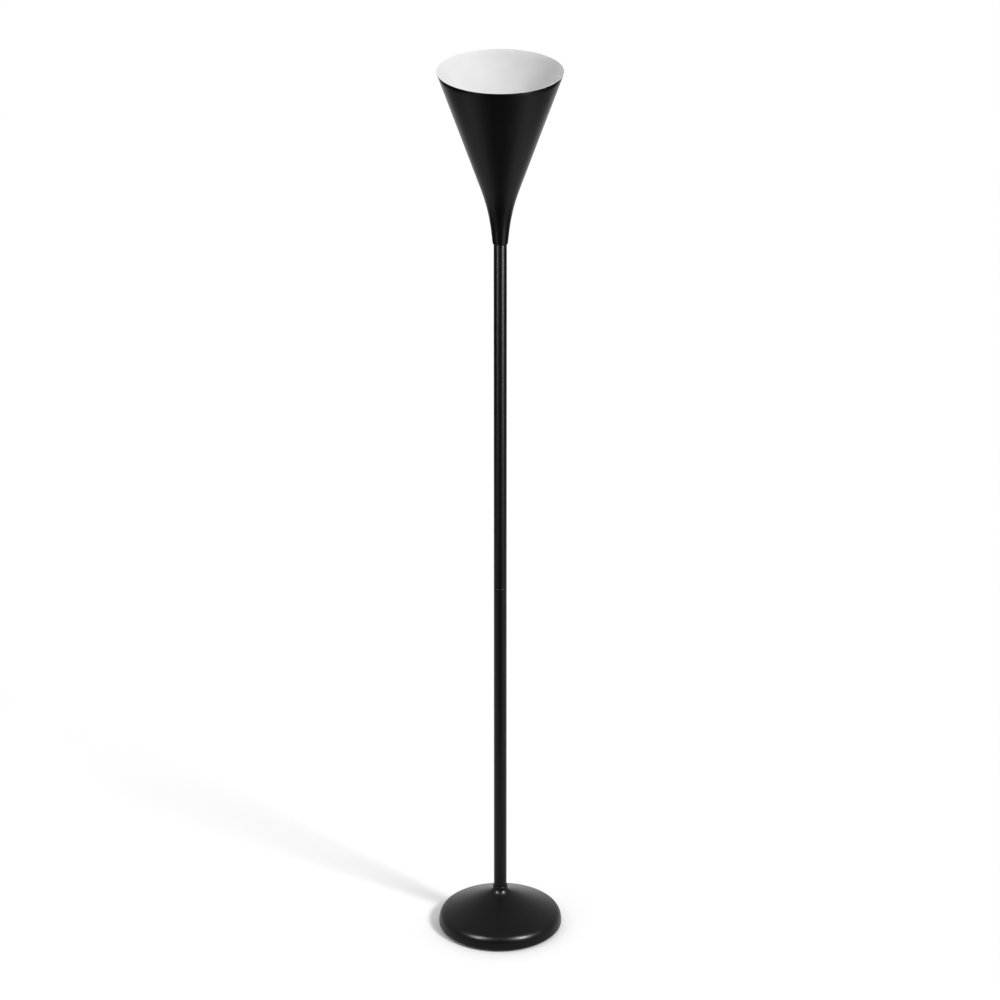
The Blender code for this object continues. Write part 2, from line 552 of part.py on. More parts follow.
# ---------------------------------------------------------------- bulb
def bulb(seat):
    """An A19 LED bulb, standing in the lampholder on its thread."""
    tip_z = seat + 2.0 * MM
    axis = group("bulb_assembly", tip_z)
    tip = [(0, 0)] + arc((0, 6.2 * MM), 6.2 * MM, -80, -42, 3) + [(4.6 * MM, 2.2 * MM), (0, 2.2 * MM)]
    turned("bulb_contact_tip", tip, SOLDER, axis, tip_z, SMALL)
    glass_z = tip_z + 2.2 * MM + FIT
    glass = [(0, 0), (5.5 * MM, 0), (11 * MM, 3 * MM), (11 * MM, 3.6 * MM), (0, 3.6 * MM)]
    turned("bulb_cap_insulator", glass, CAP_GLASS, axis, glass_z, SMALL)

    cap_z = glass_z + 3.6 * MM + FIT
    bore = CAP_THREAD_RADIUS - THREAD_DEPTH / 2 - 0.4 * MM
    step = CAP_HEIGHT / THREAD_RINGS
    threaded = [(CAP_THREAD_RADIUS, step * count) for count in range(THREAD_RINGS + 1)]
    bm = spun(threaded + [(bore, CAP_HEIGHT), (bore, 0)], THREAD_FACETS)
    rolled_thread(bm, CAP_THREAD_RADIUS, 0, CAP_HEIGHT - 5 * MM, cap_z, -1)
    add("bulb_cap_shell", bm, NICKEL, axis, (0, 0, cap_z))

    housing_z = cap_z + CAP_HEIGHT + FIT
    flank = bezier((13.3 * MM, 0), (15 * MM, 14 * MM), (25.5 * MM, 22 * MM), (HOUSING_RADIUS, HOUSING_HEIGHT), 5)
    turned("bulb_housing", sheet(flank, HOUSING_WALL), WHITE_PLASTIC, axis, housing_z)
    mouth_z = housing_z + HOUSING_HEIGHT
    turned("led_board", ring(1.5 * MM, 24.3 * MM, 1.6 * MM), BOARD_WHITE, axis, mouth_z - 3.5 * MM)
    driver = block((16 * MM, 1.2 * MM, 30 * MM))
    add("driver_board", driver, BOARD_GREEN, axis, (0, 0, mouth_z - 34.5 * MM))

    drop = math.sqrt(GLOBE_RADIUS ** 2 - HOUSING_RADIUS ** 2)
    opening = math.degrees(math.asin(drop / GLOBE_RADIUS))
    outer = arc((0, drop), GLOBE_RADIUS, -opening, 90, 9)
    inner = arc((0, drop), GLOBE_RADIUS - GLOBE_WALL, 90, -opening, 9)
    outer[-1] = (0, outer[-1][1])
    inner[0] = (0, inner[0][1])
    turned("bulb_globe", outer + inner, DIFFUSER, axis, mouth_z + FIT)


# ---------------------------------------------------------------- inner lead
def inner_lead(holder_z):
    """The two-core lead from the connector block, up through the pole, to the lampholder's terminals."""
    lead_top = holder_z + HOLDER_WALL - 2 * MM
    bend = []
    for r, z in arc((LEAD_BEND, BASE_NIPPLE_Z), LEAD_BEND, 270, 180, 8):
        bend.append((0, r, z))
    route = [(0, LEAD_START_Y, LEAD_RUN_Z)] + bend + [(0, 0, lead_top)]
    lead("inner_lead", route, LEAD_RADIUS, 3, LEAD_PVC, BASE_GROUP)

    block_bottom = POCKET_Z - FIT - BLOCK_SIZE[2]
    core_z = block_bottom + 3 * MM
    screw_underside = holder_z + HOLDER_CAP_HEIGHT + INSULATOR_RISE - TERMINAL_HEAD
    for side, core, material in ((-1, "live", CORE_BLACK), (1, "neutral", CORE_WHITE)):
        start = LEAD_START_Y + FIT
        front = BLOCK_Y - BLOCK_SIZE[1] / 2
        lower = bezier((side * TAIL_X, start, LEAD_RUN_Z), (side * TAIL_X, start + 6 * MM, LEAD_RUN_Z),
                       (side * BLOCK_POLE_X, front - 7 * MM, core_z), (side * BLOCK_POLE_X, front, core_z), 6)
        lower.append((side * BLOCK_POLE_X, front + 4 * MM, core_z))
        lead("block_core_" + core, lower, TAIL_RADIUS, 1, material, BASE_GROUP)
        end_z = screw_underside - FIT - TAIL_RADIUS
        upper = bezier((side * TAIL_X, 0, lead_top + FIT), (side * TAIL_X, 0, end_z),
                       (side * (TAIL_X + 1 * MM), 0, end_z), (side * TERMINAL_X, 0, end_z), 8)
        lead("holder_core_" + core, upper, TAIL_RADIUS, 1, material, SHADE_GROUP)


# ---------------------------------------------------------------- assembly
turned("base_pad", [(0, 0), (PAD_RADIUS, 0), (PAD_RADIUS, PAD_THICKNESS), (0, PAD_THICKNESS)], FOAM,
       BASE_GROUP, facets=FINE)
base_plate(base_cover())
base_weight()
base_stack()
cord_gland()
connector_block()
pole()
shade()
lampholder_z = shade_stack()
bulb(lampholder(lampholder_z))
inner_lead(lampholder_z)
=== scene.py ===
# %% [markdown]
# # A torchiere floor lamp
# A torchiere throws its light upwards: a trumpet-shaped cone stands on a slim pole, and a heavy round base
# keeps it upright. Its outside is sheet steel shaped on a lathe and tube, all powder-coated black, with the
# inside of the cone in white enamel. This lesson starts from the lamp's engineering model, which fixes every
# size, and gives each piece its finished surface.

# %% Load the engineering model
import json
import math

import bmesh
import bpy
from mathutils import Matrix, Vector
from mathutils.geometry import interpolate_bezier


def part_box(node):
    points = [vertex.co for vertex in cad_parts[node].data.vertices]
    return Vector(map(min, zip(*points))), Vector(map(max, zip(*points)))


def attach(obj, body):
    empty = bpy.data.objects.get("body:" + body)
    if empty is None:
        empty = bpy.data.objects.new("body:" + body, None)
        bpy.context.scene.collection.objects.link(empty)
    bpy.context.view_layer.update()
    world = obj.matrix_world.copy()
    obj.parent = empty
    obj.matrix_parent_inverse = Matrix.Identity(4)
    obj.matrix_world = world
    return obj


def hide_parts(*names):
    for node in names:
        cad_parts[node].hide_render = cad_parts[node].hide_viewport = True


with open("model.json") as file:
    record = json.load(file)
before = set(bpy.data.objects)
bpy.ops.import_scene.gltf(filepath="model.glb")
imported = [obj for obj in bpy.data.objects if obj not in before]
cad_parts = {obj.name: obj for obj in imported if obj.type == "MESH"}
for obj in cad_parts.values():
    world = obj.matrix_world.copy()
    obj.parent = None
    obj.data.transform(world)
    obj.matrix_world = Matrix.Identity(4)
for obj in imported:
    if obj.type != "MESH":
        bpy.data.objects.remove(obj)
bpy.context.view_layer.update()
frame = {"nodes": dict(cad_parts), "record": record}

# %% [markdown]
# ## Units and small helpers
# Everything is in metres, so a length in millimetres is multiplied by MM. A turned piece is known by its
# outer radius and its two end heights, and those are read from the engineering model instead of typed again.

# %% Units and measures
MM = 0.001
FULL_TURN = 2 * math.pi
AROUND = 160          # steps round a large turned piece
AROUND_SMALL = 64     # steps round a small one
STRAIGHT_STEPS = 20   # steps along a straight stretch of a large profile
WELD = 0.001 * MM     # points closer than this are one point
CREASE = 35           # degrees: a wider angle between two faces stays a crisp edge
CRISP = 0.25 * MM     # the rounding of a crisp edge


def span(node):
    """The outer radius, the lowest and the highest height of a turned node."""
    low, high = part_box(node)
    return high[0], low[2], high[2]


for node_name in ("shade", "upper_pole_tube", "base_cover"):
    print(node_name, "radius, bottom, top:", [round(value, 4) for value in span(node_name)])

# %% [markdown]
# ## Turning a profile
# Spinning, turning and tube drawing all give bodies of revolution. The profile is a few points joined by
# edges, the spin operator carries it once round the axis, and its first and last copies are merged. Sharp
# rims are then rounded with the bevel operator, because a perfectly sharp edge catches no light.


# %% Profile, spin and bevel helpers
def flow(start, start_handle, end_handle, end, count):
    """Points along a smooth stretch of a profile, each (radius, height)."""
    knots = [Vector((*point, 0)) for point in (start, start_handle, end_handle, end)]
    return [(point.x, point.y) for point in interpolate_bezier(*knots, count)]


def spin(profile, closed, steps=AROUND_SMALL):
    """A bmesh of revolution round the lamp's axis."""
    bm = bmesh.new()
    corners = [bm.verts.new((radius, 0, height)) for radius, height in profile]
    last = corners[:1] if closed else []
    for first, second in zip(corners, corners[1:] + last):
        if first.co.x > 0 or second.co.x > 0:
            bm.edges.new((first, second))
    bmesh.ops.spin(bm, geom=bm.verts[:] + bm.edges[:], axis=(0, 0, 1), cent=(0, 0, 0),
                   angle=FULL_TURN, steps=steps, use_merge=True)
    bmesh.ops.remove_doubles(bm, verts=bm.verts, dist=WELD)
    bmesh.ops.recalc_face_normals(bm, faces=bm.faces)
    if not closed:
        outwards = sum(face.normal.dot(face.calc_center_median() * Vector((1, 1, 0))) for face in bm.faces)
        if outwards < 0:
            bmesh.ops.reverse_faces(bm, faces=bm.faces)
    return bm


def round_edges(bm, width, sharper_than=40, segments=3):
    """Round every edge that turns by more than an angle."""
    limit = math.radians(sharper_than)
    sharp = [edge for edge in bm.edges if edge.is_manifold and edge.calc_face_angle() > limit]
    bmesh.ops.bevel(bm, geom=sharp, offset=width, segments=segments, profile=0.5, affect="EDGES",
                    material=-1, clamp_overlap=True)


def piece(name, bm, *finishes):
    """Make a bmesh an object of the scene, smooth where it is round."""
    mesh = bpy.data.meshes.new(name)
    bm.to_mesh(mesh)
    bm.free()
    mesh.shade_smooth()
    mesh.set_sharp_from_angle(angle=math.radians(CREASE))
    for finish in finishes:
        mesh.materials.append(finish)
    made = bpy.data.objects.new(name, mesh)
    bpy.context.collection.objects.link(made)
    return made


def stands_for(made, node, body="stand"):
    """The piece takes the place of an engineering node, with its body."""
    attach(made, body)
    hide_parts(node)
    print(made.name, "stands for", node, "-", len(made.data.polygons), "faces")


# %% [markdown]
# ## Colours and material nodes
# Paint and plastic colours are written as hex codes, as on a colour card, and turned to linear light once.
# One helper adds a shader node: what it is given for a socket is either a value or another node's output.


# %% Colour and node helpers
DARK_END, LIGHT_END = 0.35, 0.65    # the middle range of a factor, where a tint goes from dark to light


def linear(code):
    """A hex colour as the linear colour that shaders use."""
    channels = [int(code[place:place + 2], 16) / 255 for place in (1, 3, 5)]
    light = [c / 12.92 if c <= 0.04045 else ((c + 0.055) / 1.055) ** 2.4 for c in channels]
    return (*light, 1.0)


def put(tree, kind, sockets, **settings):
    """Add one node: its settings by name, its sockets from values or from other nodes' outputs."""
    made = tree.nodes.new("ShaderNode" + kind)
    for setting, value in settings.items():
        setattr(made, setting, value)
    for socket, value in sockets.items():
        if isinstance(value, bpy.types.NodeSocket):
            tree.links.new(value, made.inputs[socket])
        else:
            made.inputs[socket].default_value = value
    return made


def start_finish(name, **sockets):
    """A material with its shader set and its object coordinates at hand."""
    material = bpy.data.materials.new(name)
    material.use_nodes = True
    tree = material.node_tree
    shader = tree.nodes["Principled BSDF"]
    for socket, value in sockets.items():
        shader.inputs[socket.replace("_", " ")].default_value = value
    where = put(tree, "TexCoord", {}).outputs["Object"]
    return material, tree, shader, where


def speckle(tree, where, size, detail=2.0):
    """Noise with blotches of a given size in metres, from 0 to 1."""
    return put(tree, "TexNoise", {"Vector": where, "Scale": 1 / size, "Detail": detail}).outputs["Fac"]


def between(tree, factor, low, high):
    """A number that follows a 0-to-1 factor from low to high."""
    return put(tree, "MapRange", {"Value": factor, "To Min": low, "To Max": high}).outputs["Result"]


def tinted(tree, factor, dark, light):
    """A colour that follows a factor's middle range from one hex code to another."""
    ramp = put(tree, "ValToRGB", {"Fac": factor})
    ramp.color_ramp.elements[0].position = DARK_END
    ramp.color_ramp.elements[0].color = linear(dark)
    ramp.color_ramp.elements[1].position = LIGHT_END
    ramp.color_ramp.elements[1].color = linear(light)
    return ramp.outputs["Color"]


def bumped(tree, shader, height, depth, strength=1.0, under=None):
    """Raise the surface by a height from 0 to 1, depth metres deep."""
    sockets = {"Height": height, "Distance": depth, "Strength": strength}
    if under is not None:
        sockets["Normal"] = under
    normal = put(tree, "Bump", sockets).outputs["Normal"]
    tree.links.new(normal, shader.inputs["Normal"])
    return normal


# %% [markdown]
# ## Black powder coat
# Powder coat is a thermoset polyester paint, sprayed dry and melted in an oven. It flows into a skin with a
# faint orange peel, waves of one to two millimetres, and a finer grain on top. The base and the pole have
# the satin grade, the shade a matt grade with finer waves.


# %% Powder coat
def powder_coat(name, dark, light, roughness, peel, peel_depth, grain_depth, specular):
    """A black polyester powder coat: satin or matt, with its orange peel and its grain."""
    material, tree, shader, where = start_finish(name, IOR=1.5, Specular_IOR_Level=specular)
    cloud = speckle(tree, where, 30 * MM)
    wave = speckle(tree, where, peel)
    grain = speckle(tree, where, 0.25 * MM, 3.0)
    tree.links.new(tinted(tree, cloud, dark, light), shader.inputs["Base Color"])
    tree.links.new(between(tree, grain, roughness - 0.05, roughness + 0.05), shader.inputs["Roughness"])
    peeled = bumped(tree, shader, wave, peel_depth)
    bumped(tree, shader, grain, grain_depth, 1.0, peeled)
    return material


satin_black = powder_coat("satin_black_powder_coat", "#050506", "#070708", 0.31, 1.6 * MM, 0.012 * MM,
                          0.004 * MM, 0.13)
matt_black = powder_coat("matt_black_powder_coat", "#060607", "#08080A", 0.29, 1.1 * MM, 0.008 * MM,
                         0.006 * MM, 0.12)
print("black finishes:", satin_black.name, matt_black.name)

# %% [markdown]
# ## White enamel
# The inside of the cone is a reflector, so it is sprayed white. The satin enamel is thin: under it, the
# spinning tool's rings can just be felt. The rings are worked out from the height.


# %% White enamel
def white_enamel():
    """Satin white sprayed enamel over the spinning rings of the cone."""
    material, tree, shader, where = start_finish("satin_white_enamel", IOR=1.5, Specular_IOR_Level=0.12)
    cloud = speckle(tree, where, 45 * MM)
    peel = speckle(tree, where, 1.3 * MM)
    tree.links.new(tinted(tree, cloud, "#D0D0D0", "#D4D4D4"), shader.inputs["Base Color"])
    tree.links.new(between(tree, peel, 0.46, 0.54), shader.inputs["Roughness"])
    height = put(tree, "SeparateXYZ", {"Vector": where}).outputs["Z"]
    turns = put(tree, "Math", {0: height, 1: FULL_TURN / (2.5 * MM)}, operation="MULTIPLY").outputs[0]
    rings = put(tree, "Math", {0: turns}, operation="SINE").outputs[0]
    spun_rings = bumped(tree, shader, rings, 0.004 * MM)
    bumped(tree, shader, peel, 0.008 * MM, 1.0, spun_rings)
    return material


enamel = white_enamel()
print("white finish:", enamel.name)

# %% [markdown]
# ## Metals
# Turned and pressed fittings show fine rings from the tool, half a millimetre apart here so that they show.
# Zinc plate is a bluish grey with a faint yellow bloom, brass and nickel are warmer, and solder is dull.


# %% Plated and bare metals
def plated_metal(name, dark, light, roughness, ring_pitch, ring_depth):
    """A turned metal with a thin plating that varies a little in tone."""
    material, tree, shader, where = start_finish(name, Metallic=1.0)
    bloom = speckle(tree, where, 6 * MM, 3.0)
    smear = speckle(tree, where, 1.2 * MM)
    tree.links.new(tinted(tree, bloom, dark, light), shader.inputs["Base Color"])
    tree.links.new(between(tree, smear, roughness - 0.07, roughness + 0.07), shader.inputs["Roughness"])
    radius = put(tree, "VectorMath", {0: where}, operation="LENGTH").outputs["Value"]
    turns = put(tree, "Math", {0: radius, 1: FULL_TURN / ring_pitch}, operation="MULTIPLY").outputs[0]
    rings = put(tree, "Math", {0: turns}, operation="SINE").outputs[0]
    bumped(tree, shader, rings, ring_depth)
    return material


zinc = plated_metal("bright_zinc_plate", "#A9AEB4", "#BFC0BA", 0.32, 0.5 * MM, 0.004 * MM)
brass = plated_metal("rolled_brass", "#B8954F", "#CBA862", 0.28, 0.6 * MM, 0.003 * MM)
nickel = plated_metal("nickel_plate", "#B9B6AD", "#C9C7C0", 0.24, 0.7 * MM, 0.002 * MM)
solder = plated_metal("dull_solder", "#9EA1A3", "#B6B8B9", 0.42, 1.9 * MM, 0.010 * MM)


def cast_iron_primer():
    """Sand-cast iron under a thin dark primer: a rough skin with sand pits."""
    material, tree, shader, where = start_finish("primed_cast_iron", Metallic=0.4)
    sand = speckle(tree, where, 0.9 * MM, 4.0)
    pits = put(tree, "TexVoronoi", {"Vector": where, "Scale": 1 / (4 * MM)}).outputs["Distance"]
    tree.links.new(tinted(tree, speckle(tree, where, 12 * MM), "#37352F", "#45423E"),
                   shader.inputs["Base Color"])
    tree.links.new(between(tree, sand, 0.68, 0.88), shader.inputs["Roughness"])
    skin = bumped(tree, shader, sand, 0.12 * MM)
    bumped(tree, shader, pits, 0.10 * MM, 0.6, skin)
    return material


cast_iron = cast_iron_primer()
print("metals:", [metal.name for metal in (zinc, brass, nickel, solder, cast_iron)])

# %% [markdown]
# ## Plastics, foam and glass
# Moulded plastics copy the tool's fine spark-eroded texture. Phenolic, the old lampholder plastic, is
# pressed hot and is glossier, with a cloudy filler. Closed-cell foam shows its cut cells.


# %% Moulded plastics
def moulded(name, dark, light, roughness, texture, depth, subsurface=0.0):
    """A moulded plastic with the texture of its tool."""
    material, tree, shader, where = start_finish(name, IOR=1.5, Subsurface_Weight=subsurface)
    shader.inputs["Subsurface Radius"].default_value = (1 * MM, 1 * MM, 1 * MM)
    tree.links.new(tinted(tree, speckle(tree, where, 9 * MM), dark, light), shader.inputs["Base Color"])
    erosion = speckle(tree, where, texture, 3.0)
    tree.links.new(between(tree, erosion, roughness - 0.06, roughness + 0.06), shader.inputs["Roughness"])
    bumped(tree, shader, erosion, depth)
    return material


nylon = moulded("black_nylon", "#1A1A1B", "#202021", 0.5, 0.3 * MM, 0.02 * MM)
phenolic = moulded("black_phenolic", "#191614", "#231F1C", 0.34, 1.5 * MM, 0.006 * MM)
polyamide = moulded("natural_polyamide", "#DCD8C8", "#E6E3D6", 0.48, 0.3 * MM, 0.01 * MM, 0.2)
white_pvc = moulded("white_pvc_sheath", "#DEDEDA", "#E6E6E2", 0.5, 0.8 * MM, 0.02 * MM)
black_pvc = moulded("black_pvc_core", "#171717", "#1E1E1E", 0.45, 0.4 * MM, 0.01 * MM)
core_white_pvc = moulded("white_pvc_core", "#E2E2DE", "#EAEAE6", 0.45, 0.4 * MM, 0.01 * MM)
opal = moulded("opal_polycarbonate", "#F3F3F0", "#F8F8F5", 0.36, 0.5 * MM, 0.004 * MM, 0.5)
housing_white = moulded("white_lamp_housing", "#E9E9E7", "#EFEFED", 0.42, 0.4 * MM, 0.012 * MM, 0.1)
vitrite = moulded("black_vitrite_glass", "#0E0E12", "#16161B", 0.12, 2.5 * MM, 0.02 * MM)
mask_white = moulded("white_solder_mask", "#E4E6E6", "#ECEEEE", 0.4, 0.5 * MM, 0.006 * MM)
mask_green = moulded("green_solder_mask", "#1B5535", "#237044", 0.38, 0.5 * MM, 0.006 * MM)


def closed_cell_foam():
    """Black EVA foam: skinned cells, cut open here and there."""
    material, tree, shader, where = start_finish("black_eva_foam", Roughness=0.92)
    cells = put(tree, "TexVoronoi", {"Vector": where, "Scale": 1 / (0.8 * MM)}).outputs["Distance"]
    tree.links.new(tinted(tree, cells, "#141414", "#242424"), shader.inputs["Base Color"])
    bumped(tree, shader, cells, 0.15 * MM)
    return material


foam = closed_cell_foam()
print("plastics and foam:", [plastic.name for plastic in (nylon, phenolic, polyamide, opal, vitrite, foam)])

# %% [markdown]
# ## Finishes for the engineering nodes
# Many inner pieces keep their engineering shape. Each gets the finish of its slot in the record.

# %% Dress the engineering nodes
FINISHES = {
    "foam_pad": foam, "cover_paint": satin_black, "pole_paint": satin_black, "shade_paint": matt_black,
    "cast_iron": cast_iron, "zinc_steel": zinc, "brass": brass, "nickel": nickel, "solder": solder,
    "nylon": nylon, "phenolic": phenolic, "terminal_plastic": polyamide, "lead_pvc": white_pvc,
    "core_black": black_pvc, "core_white": core_white_pvc, "diffuser": opal,
    "housing_plastic": housing_white, "led_board": mask_white, "driver_board": mask_green,
    "cap_glass": vitrite,
}
for row in frame["record"]["subparts"]:
    mesh = frame["nodes"][row["node"]].data
    mesh.materials.clear()
    mesh.materials.append(FINISHES[row["material_slot"]])

# %% [markdown]
# ## The shade
# The real shade is one disc of 0.8 mm steel, pressed over a turning wooden former until it is a trumpet. Its
# narrow end stays closed and stands on the pole. The profile is its outside only, and the Solidify modifier
# gives the sheet its thickness and puts the second finish, the white enamel, on the inside and the rim.

# %% Shade
SHEET = 0.8 * MM
CONE_START = 115 * MM
CONE_SLOPE = 0.351
FLARE_PULL = 3.8 * MM
NECK_RADIUS = 14.8 * MM
NECK_CORNER = 1.5 * MM
rim_radius, shade_floor, rim_height = span("shade")
cone_foot = rim_radius - CONE_SLOPE * (rim_height - shade_floor - CONE_START)
hole_radius = 5.3 * MM
corner_end = (NECK_RADIUS, shade_floor + NECK_CORNER)
shade_profile = [(hole_radius, shade_floor)]
shade_profile += flow((NECK_RADIUS - NECK_CORNER, shade_floor), (NECK_RADIUS - NECK_CORNER / 2, shade_floor),
                      (NECK_RADIUS, shade_floor + NECK_CORNER / 2), corner_end, 7)
shade_profile += flow(corner_end, (NECK_RADIUS + FLARE_PULL, shade_floor + CONE_START * 0.36),
                      (cone_foot - CONE_SLOPE * CONE_START * 0.4, shade_floor + CONE_START * 0.6),
                      (cone_foot, shade_floor + CONE_START), 25)[1:]
rim_drop = SHEET * CONE_SLOPE / math.hypot(1, CONE_SLOPE)
cone_low, cone_high = shade_floor + CONE_START, rim_height - rim_drop
for step in range(1, STRAIGHT_STEPS + 1):
    part = step / STRAIGHT_STEPS
    shade_profile.append((cone_foot + (rim_radius - cone_foot) * part,
                          cone_low + (cone_high - cone_low) * part))
shade = piece("shade_shell", spin(shade_profile, closed=False, steps=AROUND), matt_black, enamel)
wall = shade.modifiers.new("sheet", "SOLIDIFY")
wall.thickness = SHEET
wall.offset = -1
wall.use_even_offset = True
wall.material_offset = 1
wall.material_offset_rim = 1
rim_round = shade.modifiers.new("rim", "BEVEL")
rim_round.width = CRISP
rim_round.segments = 2
rim_round.limit_method = "ANGLE"
rim_round.angle_limit = math.radians(60)
stands_for(shade, "shade")

# %% [markdown]
# ## The base cover
# The base's cover is spun steel too, 1.2 mm thick: a rolled rim, a straight slope and a tight bend up into
# the neck that takes the pole. The gland's round hole in the back is cut with a Boolean before the piece is
# finished.

# %% Base cover
COVER_SHEET = 1.2 * MM
EDGE_RADIUS = 116.8 * MM
BULGE_HEIGHT = 9 * MM
ROLL_RADIUS = 110 * MM
ROLL_HEIGHT = 32 * MM
FILLET_RADIUS = 36 * MM     # where the straight slope starts to turn up into the neck
FILLET_HEIGHT = 66.8 * MM
COLLAR_RADIUS = 14.4 * MM
COLLAR_HEIGHT = 83.5 * MM
base_radius, cover_bottom = span("base_cover")[:2]
cover_profile = flow((EDGE_RADIUS, cover_bottom), (base_radius - 1.2 * MM, 4.2 * MM),
                     (base_radius, 6.5 * MM), (base_radius, BULGE_HEIGHT), 8)
cover_profile += flow((base_radius, BULGE_HEIGHT), (base_radius, 21.4 * MM),
                      (ROLL_RADIUS + 7.7 * MM, ROLL_HEIGHT - 3.7 * MM), (ROLL_RADIUS, ROLL_HEIGHT), 20)[1:]
for step in range(1, STRAIGHT_STEPS + 1):
    part = step / STRAIGHT_STEPS
    cover_profile.append((ROLL_RADIUS + (FILLET_RADIUS - ROLL_RADIUS) * part,
                          ROLL_HEIGHT + (FILLET_HEIGHT - ROLL_HEIGHT) * part))
cover_profile += flow((FILLET_RADIUS, FILLET_HEIGHT), (25 * MM, 72 * MM),
                      (COLLAR_RADIUS + 1.8 * MM, 75.5 * MM), (COLLAR_RADIUS, COLLAR_HEIGHT), 24)[1:]
LIP = 1.1 * MM
lip_top = COLLAR_HEIGHT + 3 * MM
cover_profile += flow((COLLAR_RADIUS, lip_top), (COLLAR_RADIUS, lip_top + LIP * 0.8),
                      (COLLAR_RADIUS - LIP * 0.6, lip_top + LIP),
                      (COLLAR_RADIUS - LIP * 1.3, lip_top + LIP * 0.95), 7)
cover = piece("base_shell", spin(cover_profile, closed=False, steps=AROUND), satin_black)
cover_wall = cover.modifiers.new("sheet", "SOLIDIFY")
cover_wall.thickness = COVER_SHEET
cover_wall.offset = -1
cover_wall.use_even_offset = True

gland_low, gland_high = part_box("cord_gland")
gland_middle = (Vector(gland_low) + Vector(gland_high)) / 2
DRILL_RADIUS = 5.2 * MM
DRILL_LENGTH = 30 * MM
drill = bmesh.new()
bmesh.ops.create_cone(drill, cap_ends=True, segments=48, radius1=DRILL_RADIUS, radius2=DRILL_RADIUS,
                      depth=DRILL_LENGTH,
                      matrix=Matrix.Translation((0, base_radius, gland_middle.z)) @
                      Matrix.Rotation(math.pi / 2, 4, "X"))
drill_object = piece("gland_drill", drill)
hole = cover.modifiers.new("gland_hole", "BOOLEAN")
hole.operation = "DIFFERENCE"
hole.object = drill_object
evaluated = cover.evaluated_get(bpy.context.evaluated_depsgraph_get())
cover.data = bpy.data.meshes.new_from_object(evaluated)
cover.modifiers.clear()
bpy.data.objects.remove(drill_object)
stands_for(cover, "base_cover")

# %% [markdown]
# ## The pole
# Two drawn steel tubes make the pole. Their ends are turned with a small chamfer, which shows as a hairline
# ring where they meet. The profile is the tube's cut section, and its corners are rounded with a bevel.

# %% Pole
TUBE_WALL = 1.0 * MM
EDGE_BAND = 1.5 * MM    # a ring of points this far from each end keeps the rounding out of the long faces
for tube in ("lower_pole_tube", "upper_pole_tube"):
    radius, bottom, top = span(tube)
    section = [(radius - TUBE_WALL, bottom), (radius, bottom), (radius, bottom + EDGE_BAND),
               (radius, top - EDGE_BAND), (radius, top), (radius - TUBE_WALL, top)]
    bm = spin(section, closed=True, steps=96)
    round_edges(bm, 0.4 * MM)
    stands_for(piece(tube.replace("_tube", "_finished"), bm, satin_black), tube)

# %% [markdown]
# ## The foam foot
# A disc of closed-cell foam is glued under the base, so that the iron doesn't scratch the floor.

# %% Foam foot
radius, bottom, top = span("base_pad")
flat = radius - EDGE_BAND
bm = spin([(0, bottom), (flat, bottom), (radius, bottom), (radius, top), (flat, top), (0, top)], closed=True,
          steps=AROUND)
round_edges(bm, 0.5 * MM)
stands_for(piece("foam_foot", bm, foam), "base_pad")

# %% [markdown]
# ## The cord gland
# The gland is a nylon bush that snaps into the hole from inside. It is turned round the hole's own axis,
# which lies along Y, so it is spun upright first and then laid over.

# %% Cord gland
bore, flange, barrel = 3.3 * MM, 6.2 * MM, 5.0 * MM
shoulder = 2.8 * MM
length = gland_high[1] - gland_low[1]
bm = spin([(bore, 0), (flange, 0), (flange, shoulder), (barrel, shoulder), (barrel, length), (bore, length)],
          closed=True, steps=48)
round_edges(bm, 0.5 * MM)
lay_over = Matrix.Translation((0, gland_low[1], gland_middle.z)) @ Matrix.Rotation(-math.pi / 2, 4, "X")
bmesh.ops.transform(bm, matrix=lay_over, verts=bm.verts)
stands_for(piece("gland_bush", bm, nylon), "cord_gland")

# %% [markdown]
# ## The lampholder
# The lampholder is phenolic, in a cap, an insulator and a skirt, round a brass shell with the round thread
# of an E26 bulb. The thread is a turned sleeve whose points are pushed in and out along a helix.

# %% Thread helper
PITCH = 3.629 * MM          # seven turns to the inch
THREAD_DEPTH = 0.9 * MM
ON_THE_FACE = 0.1 * MM      # how near to a face's radius its points lie


def press_thread(bm, face_radius, start, end, clear):
    """Press a round thread into one face of a sleeve; outside it the face clears the mating thread."""
    for vert in bm.verts:
        radius = math.hypot(vert.co.x, vert.co.y)
        if abs(radius - face_radius) < ON_THE_FACE:
            turn = math.atan2(vert.co.y, vert.co.x) / FULL_TURN
            wave = math.cos(FULL_TURN * (vert.co.z / PITCH - turn))
            depth = min(1, (vert.co.z - start) / PITCH, (end - vert.co.z) / PITCH)
            share = math.sin(max(0, depth) * math.pi / 2)
            grown = 1 + THREAD_DEPTH / 2 * (wave * share + clear * (1 - share)) / radius
            vert.co.x *= grown
            vert.co.y *= grown


def ladder(radius, bottom, top, count):
    """Evenly spaced points up a straight face."""
    return [(radius, bottom + (top - bottom) * step / count) for step in range(count + 1)]


# %% Lampholder
outer, cap_bottom, cap_top = span("lampholder_cap")
skin = 1.5 * MM
cap_corner = 2 * MM
cap_section = [(hole_radius, cap_bottom)]
cap_section += flow((outer - cap_corner, cap_bottom), (outer - cap_corner / 2, cap_bottom),
                    (outer, cap_bottom + cap_corner / 2), (outer, cap_bottom + cap_corner), 8)
cap_section += [(outer, cap_top), (outer - skin, cap_top), (outer - skin, cap_bottom + skin),
                (hole_radius, cap_bottom + skin)]
bm = spin(cap_section, closed=True)
round_edges(bm, CRISP)
stands_for(piece("holder_cap", bm, phenolic), "lampholder_cap")

